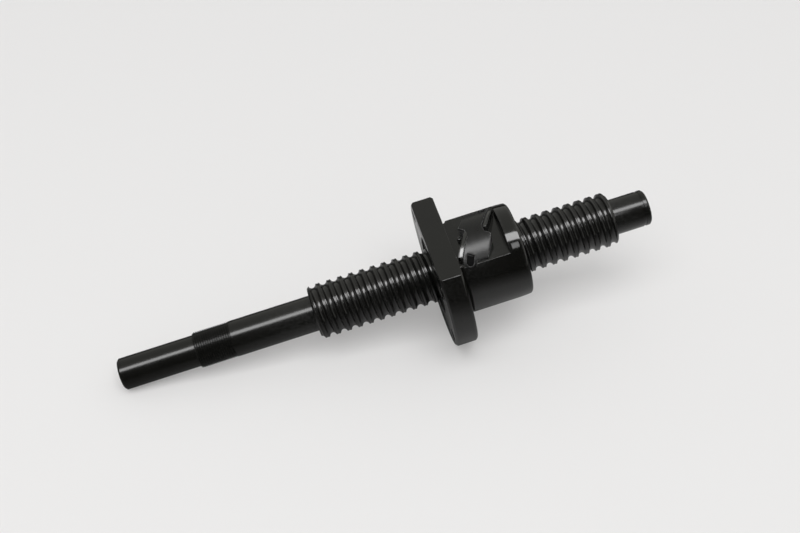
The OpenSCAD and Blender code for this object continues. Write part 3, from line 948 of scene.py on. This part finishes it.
cap_mesh = curved_plate(
    "return_cap_moulding", cap_line, windows, cap_base, CAP_TOP_R, moulded_cap, edge=0.28,
    hole_edge=0.14)
place_piece("return_cap_moulding", cap_mesh, "nut", "cap_plastic", "return_cap")

# %% Dark inserts in the two windows, which paint the shade inside their openings
INSERT_FIT = 0.03
INSERT_BASE = LEG_BASE + 0.4
INSERT_SINK = 1.1
insert_line = window_line(WINDOW_R - INSERT_FIT)
for label, line in (("rear", at_cap(insert_line)), ("front", at_cap(turned_about(insert_line)))):
    insert = curved_plate(
        f"insert_{label}", line, [], lambda y: INSERT_BASE, CAP_TOP_R - INSERT_SINK, painted_shade_insert,
        edge=0.15)
    place_piece(f"insert_{label}", insert, "nut", "insert", f"window_insert_{label}")

# %% [markdown]
# Two glossy steel bars lie beside the cap's slanted edges and hold it down. They are cut from
# strip, with round corners at one end, and their tops follow the same circle as the cap's. Each
# is drawn along its own notch, so it stays beside the cap if the notch changes. A lower and
# duller lip runs along the outer side of the front bar.

# %% The clip bars
HEAD_CORNER = 0.3
BAR_CORNER = 0.6
BAR_EDGE = 0.2
LIP_CORNER = 0.18
LIP_EDGE = 0.12
LIP_DROP = 0.9


def strip(notch, along, beside_edge, corner):
    """A strip beside a notch's slanted edge: from and to along it, near and far side from it."""
    foot, head = (np.array(p, float) for p in notch[3:5])
    ahead = (head - foot) / np.linalg.norm(head - foot)
    out = np.array([ahead[1], -ahead[0]])
    (start, end), (inner, outer) = along, beside_edge
    line = rounded([(start, outer), (end, outer), (end, inner), (start, inner)],
                   [corner, HEAD_CORNER, HEAD_CORNER, corner], closed=True)
    return [tuple(foot + s * ahead + n * out) for s, n in line]


def clip_piece(name, line, top_r, look, edge, *nodes):
    """A strip that stands on the flat, with its top concentric with the nut."""
    mesh = curved_plate(name, at_cap(line), [], lambda y: BODY_FLAT - SUNK, top_r, look, edge=edge)
    place_piece(name, mesh, "nut", "clip_steel", *nodes)


rear_bar = strip(RIGHT_NOTCH, (-0.8, 11.6), (0.42, 2.1), BAR_CORNER)
clip_piece("clip_bar_rear", rear_bar, CAP_TOP_R, clip_finish, BAR_EDGE, "clip_rear")
front_bar = turned_about(strip(LEFT_NOTCH, (-2.3, 9.9), (0.12, 1.8), BAR_CORNER))
clip_piece("clip_bar_front", front_bar, CAP_TOP_R, clip_finish, BAR_EDGE, "clip_front")
front_lip = turned_about(strip(LEFT_NOTCH, (0.6, 9.4), (1.86, 2.35), LIP_CORNER))
clip_piece("clip_lip_front", front_lip, CAP_TOP_R - LIP_DROP, ground_steel, LIP_EDGE)


# %% [markdown]
# A small screw with a round head and a socket stands beside the front bar. It is one lathe
# profile, made along X like every turned piece and then stood on end.

# %% The small socket screw
HEAD_R = 0.95
SHANK_R = 0.55
SOCKET_R = 0.5
SCREW_AT = (CIRCUIT_X - 6.4, 0.8)


def upright(name, profile, x, y, look, segments=48):
    """A turned mesh stood on end: the profile's first number is its height."""
    mesh = turned(name, profile, look, segments)
    mesh.transform(Matrix.Rotation(-math.pi / 2, 4, "Y"))
    mesh.transform(Matrix.Translation((x * MM, y * MM, 0)))
    return mesh


screw_top = BODY_FLAT + 1.9
small_screw = upright("small_screw", rounded([
    (BODY_FLAT - 0.8, 0), (BODY_FLAT - 0.8, SHANK_R), (BODY_FLAT, SHANK_R), (BODY_FLAT, HEAD_R),
    (screw_top, HEAD_R), (screw_top, SOCKET_R), (screw_top - 0.6, SOCKET_R - 0.08),
    (screw_top - 0.75, 0)], [0, 0, 0, 0, 0.2, 0.08, 0, 0]), *SCREW_AT, clip_finish)
place_piece("small_screw", small_screw, "nut", "clip_steel", "clip_screw")

# %% [markdown]
# A wiper closes each end of the nut. It is a plain moulded ring in its seat, with a lip that
# stops just short of the thread.

# %% The wipers
WIPER_RECESS = 0.74
for label, x_out, side in (("front", NUT_X0 + WIPER_RECESS, 1), ("rear", NUT_X1 - WIPER_RECESS, -1)):
    section = rounded([
        (3.2, 12.5), (3.2, 17.19), (0.0, 17.19), (0.0, 15.4), (0.35, 14.8), (0.35, 13.3),
        (0.0, 12.4), (0.3, 12.2)], [0.2, 0.2, 0.3, 0.15, 0.15, 0.15, 0.05, 0.1], closed=True)
    rings = [(x_out + side * x, r, None) for x, r in section]
    wiper = ringed(f"wiper_ring_{label}", rings, wiper_moulding)
    place_piece(f"wiper_ring_{label}", wiper, "wipers", "wiper_plastic", f"wiper_{label}")

# %% [markdown]
# The balls are exact spheres in the CAD already, so they stay and only get their finish. They are
# bright because a bearing ball is polished and never blackened.

# %% The balls
for label in ("balls_turn_1", "balls_turn_2", "balls_half_turn", "balls_return"):
    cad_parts[label].material_slots[0].material = ball_chrome
    print(f"{label}: {ball_chrome.name}")

# %% [markdown]
# The camera looks down at the screw from in front, and is rolled so that the screw climbs to the
# right in the picture. Its place is given in directions of its own: to the camera, up in the
# picture and along the screw. The lens is shifted, because the picture is a crop whose middle
# isn't where the camera points.

# %% The camera's directions
LIFT = math.radians(41.8)
SWING = math.radians(3.65)
AXIS_RIGHT = 0.95260
AXIS_UP = 0.30418
AIM_RIGHT = 57.21
AIM_UP = 7.905
CAMERA_DISTANCE = 530.0
to_camera = Vector((0, -math.sin(LIFT), math.cos(LIFT)))
image_up = Vector((0, math.cos(LIFT), math.sin(LIFT)))
along_screw = Vector((1, 0, 0))
right = math.cos(SWING) * along_screw + math.sin(SWING) * to_camera
look = math.sin(SWING) * along_screw - math.cos(SWING) * to_camera
ROLL = math.atan2(AXIS_UP, AXIS_RIGHT)
camera_x = math.cos(ROLL) * right - math.sin(ROLL) * image_up
camera_y = math.sin(ROLL) * right + math.cos(ROLL) * image_up
camera_at = MM * (AIM_RIGHT * right + AIM_UP * image_up - CAMERA_DISTANCE * look)
print("camera at", [round(c, 4) for c in camera_at], "m, rolled", round(math.degrees(ROLL), 1))

# %% Camera
camera_data = bpy.data.cameras.new("camera")
camera_data.sensor_width = 36.0
camera_data.lens = 54.61
camera_data.shift_x = -0.0422
camera_data.shift_y = -0.0134
camera = bpy.data.objects.new("camera", camera_data)
bpy.context.scene.collection.objects.link(camera)
camera.matrix_world = Matrix((
    (camera_x.x, camera_y.x, -look.x, camera_at.x), (camera_x.y, camera_y.y, -look.y, camera_at.y),
    (camera_x.z, camera_y.z, -look.z, camera_at.z), (0, 0, 0, 1)))
bpy.context.scene.camera = camera
print("lens", camera_data.lens, "mm")

# %% [markdown]
# The table is tilted in the row frame, because a loose ball screw rests on its long end and on
# the flange's rim. It is one flat sheet of pale paper. The dark steel reflects it clearly, so the
# sheet answers each kind of ray in its own way. For the camera it glows: next to the object a share
# of painted light lifts the soft shadow, and the glow grows with distance, so that the far edge
# melts into the backdrop. For reflections its colour is darkened: a painted shadow where the ray
# arrives from close by, where a real sheet lies in the object's shadow, and a painted darkening
# where the ray arrives at a low angle. Seen from below it is clear.

# %% The table's sheet
TABLE_UP = Vector((0.1797, 0.0604, 0.9819)).normalized()
TABLE_DROP = 22.55
TABLE_HALF = 4.0
floor_mesh = bpy.data.meshes.new("table")
side_a = TABLE_UP.cross(Vector((0, 1, 0))).normalized()
side_b = TABLE_UP.cross(side_a).normalized()
middle = -TABLE_DROP * MM * TABLE_UP
corners = ((-1, 1), (1, 1), (1, -1), (-1, -1))
floor_mesh.from_pydata(
    [middle + TABLE_HALF * (a * side_a + b * side_b) for a, b in corners], [], [(0, 1, 2, 3)])
if floor_mesh.polygons[0].normal.dot(TABLE_UP) < 0:
    floor_mesh.flip_normals()
floor = bpy.data.objects.new("table", floor_mesh)
bpy.context.scene.collection.objects.link(floor)
print("table tilted by", round(math.degrees(TABLE_UP.angle(Vector((0, 0, 1)))), 1), "degrees")

# %% The table's paper
table_look = bpy.data.materials.new("table_paper")
table_look.use_nodes = True
tree = table_look.node_tree
tree.nodes.clear()
PAPER = (0.765, 0.76, 0.755, 1)
PALE = (0.80, 0.79, 0.785, 1)
CONTACT_REACH = 0.065
CONTACT_SHARE = 0.12
LOW_ANGLE_POWER = 1.6
GLOW_FROM = 0.35
GLOW_TO = 1.5
# The glow's share next to the object is painted light that lifts the shadow there.
SHADOW_LIFT_SHARE = 0.3
geometry = add_node(tree, "ShaderNodeNewGeometry").outputs
path = add_node(tree, "ShaderNodeLightPath").outputs
steepness = add_node(tree, "ShaderNodeVectorMath", {
    0: geometry["Incoming"], 1: geometry["Normal"]}, operation="DOT_PRODUCT").outputs["Value"]
# Painted shade in reflections: the paper darkens for short rays next to the object and for rays at a
# low angle.
nearness = add_node(tree, "ShaderNodeMapRange", {
    "Value": path["Ray Length"], "From Min": 0.0, "From Max": CONTACT_REACH,
    "To Min": CONTACT_SHARE})
low_angle = calc(tree, "POWER", steepness, LOW_ANGLE_POWER)
painted_reflection_shade = calc(tree, "MULTIPLY", low_angle, nearness.outputs[0])
mirrored = mix_tones(tree, painted_reflection_shade, (0, 0, 0, 1), PAPER)
paper = add_node(tree, "ShaderNodeBsdfDiffuse", {
    "Color": mix_tones(tree, path["Is Glossy Ray"], PAPER, mirrored)})
# Painted light: next to the object this glow lifts the table's cast shadow for the camera.
shadow_lift_glow = add_node(tree, "ShaderNodeEmission", {"Color": PALE})
how_far = add_node(tree, "ShaderNodeVectorMath", {0: geometry["Position"]}, operation="LENGTH")
glow_share = add_node(tree, "ShaderNodeMapRange", {
    "Value": how_far.outputs["Value"], "From Min": GLOW_FROM, "From Max": GLOW_TO,
    "To Min": SHADOW_LIFT_SHARE, "To Max": 1.0}, interpolation_type="SMOOTHSTEP")
lifted = add_node(tree, "ShaderNodeMixShader", {
    0: calc(tree, "MULTIPLY", path["Is Camera Ray"], glow_share.outputs[0]),
    1: paper.outputs[0], 2: shadow_lift_glow.outputs[0]})
clear = add_node(tree, "ShaderNodeBsdfTransparent")
either = add_node(tree, "ShaderNodeMixShader", {
    0: geometry["Backfacing"], 1: lifted.outputs[0], 2: clear.outputs[0]})
add_node(tree, "ShaderNodeOutputMaterial", {0: either.outputs[0]})
floor_mesh.materials.append(table_look)
print("table finish:", table_look.name)

# %% [markdown]
# On a black cylinder almost all that shows is the reflection of the lamps, so light and
# reflections are set apart. A wide wash lights the paper and throws the soft shadow, and shows in
# no reflection. A long strip above the screw gives the bright line along every cylinder, and a
# small strip nearer to the camera gives the second, weaker line towards the right end.

# %% Lamps
LAMP_DISTANCE = 2.6
LAMP_AIM = Vector((0.06, 0, 0))


def soft_box(name, direction, long, wide, radiance, mirrored):
    """An area lamp aimed at the nut, long side along X. It only lights, or is only mirrored."""
    data = bpy.data.lights.new(name, "AREA")
    data.shape = "RECTANGLE"
    data.size = long
    data.size_y = wide
    data.energy = radiance * math.pi * long * wide
    lamp = bpy.data.objects.new(name, data)
    bpy.context.scene.collection.objects.link(lamp)
    lamp.visible_glossy = mirrored
    lamp.visible_diffuse = not mirrored
    back = direction.normalized()
    across = (Vector((1, 0, 0)) - back * back.x).normalized()
    up = back.cross(across)
    at = LAMP_AIM + back * LAMP_DISTANCE
    lamp.matrix_world = Matrix((
        (across.x, up.x, back.x, at.x), (across.y, up.y, back.y, at.y),
        (across.z, up.z, back.z, at.z), (0, 0, 0, 1)))
    return lamp


def toward(degrees, x=0.0):
    """A direction that many degrees from the camera towards image up."""
    a = math.radians(degrees)
    return math.cos(a) * to_camera + math.sin(a) * image_up + Vector((x, 0, 0))


soft_box("wash", toward(22, 0.04), 2.4, 1.7, 4.1, False)
soft_box("strip", toward(31.7, 0.06), 3.3, 0.87, 6.8, True)
soft_box("small_strip", toward(9, 0.215), 0.45, 0.54, 3.0, True)
print("lamps:", len(bpy.data.lights))

# %% [markdown]
# The world stands for the room. The camera sees the same pale tone as the table, diffuse rays see
# one even grey, and reflections see grey walls that are brighter to the right, with a dark patch
# round the camera. The patch makes the surfaces that face the camera nearly black.

# %% World
WALL_TONE = (0.40, 0.40, 0.375)
DARK_TONE = (0.015, 0.015, 0.015, 1)
EVEN_TONE = (0.52, 0.52, 0.52, 1)
DARK_FROM = 0.62
DARK_FULL = 0.84
SIDE_REACH = 0.6
SIDE_CONTRAST = 1.4
world = bpy.data.worlds.new("studio")
bpy.context.scene.world = world
world.use_nodes = True
tree = world.node_tree
tree.nodes.clear()
direction = add_node(tree, "ShaderNodeTexCoord").outputs["Generated"]
dark_side = toward(-16)
facing = add_node(tree, "ShaderNodeVectorMath", {0: direction, 1: tuple(dark_side)},
                  operation="DOT_PRODUCT").outputs["Value"]
darkness = add_node(tree, "ShaderNodeMapRange", {
    "Value": facing, "From Min": DARK_FROM, "From Max": DARK_FULL},
    interpolation_type="SMOOTHSTEP")
right_side = add_node(tree, "ShaderNodeSeparateXYZ", {0: direction}).outputs[0]
brightness = add_node(tree, "ShaderNodeMapRange", {
    "Value": right_side, "From Min": -SIDE_REACH, "From Max": SIDE_REACH,
    "To Min": -1.0, "To Max": 1.0})
cubed = calc(tree, "POWER", brightness.outputs[0], 3.0)
side_gain = calc(tree, "POWER", SIDE_CONTRAST, cubed)
walls = add_node(tree, "ShaderNodeVectorMath", {0: WALL_TONE}, operation="SCALE")
tree.links.new(side_gain, walls.inputs["Scale"])
room = mix_tones(tree, darkness.outputs[0], walls.outputs[0], DARK_TONE)
path = add_node(tree, "ShaderNodeLightPath")
lit = mix_tones(tree, path.outputs["Is Diffuse Ray"], room, EVEN_TONE)
shown = mix_tones(tree, path.outputs["Is Camera Ray"], lit, PALE)
sky = add_node(tree, "ShaderNodeBackground", {0: shown})
add_node(tree, "ShaderNodeOutputWorld", {0: sky.outputs[0]})
bpy.context.scene.view_settings.view_transform = "Standard"
print("view transform:", bpy.context.scene.view_settings.view_transform)
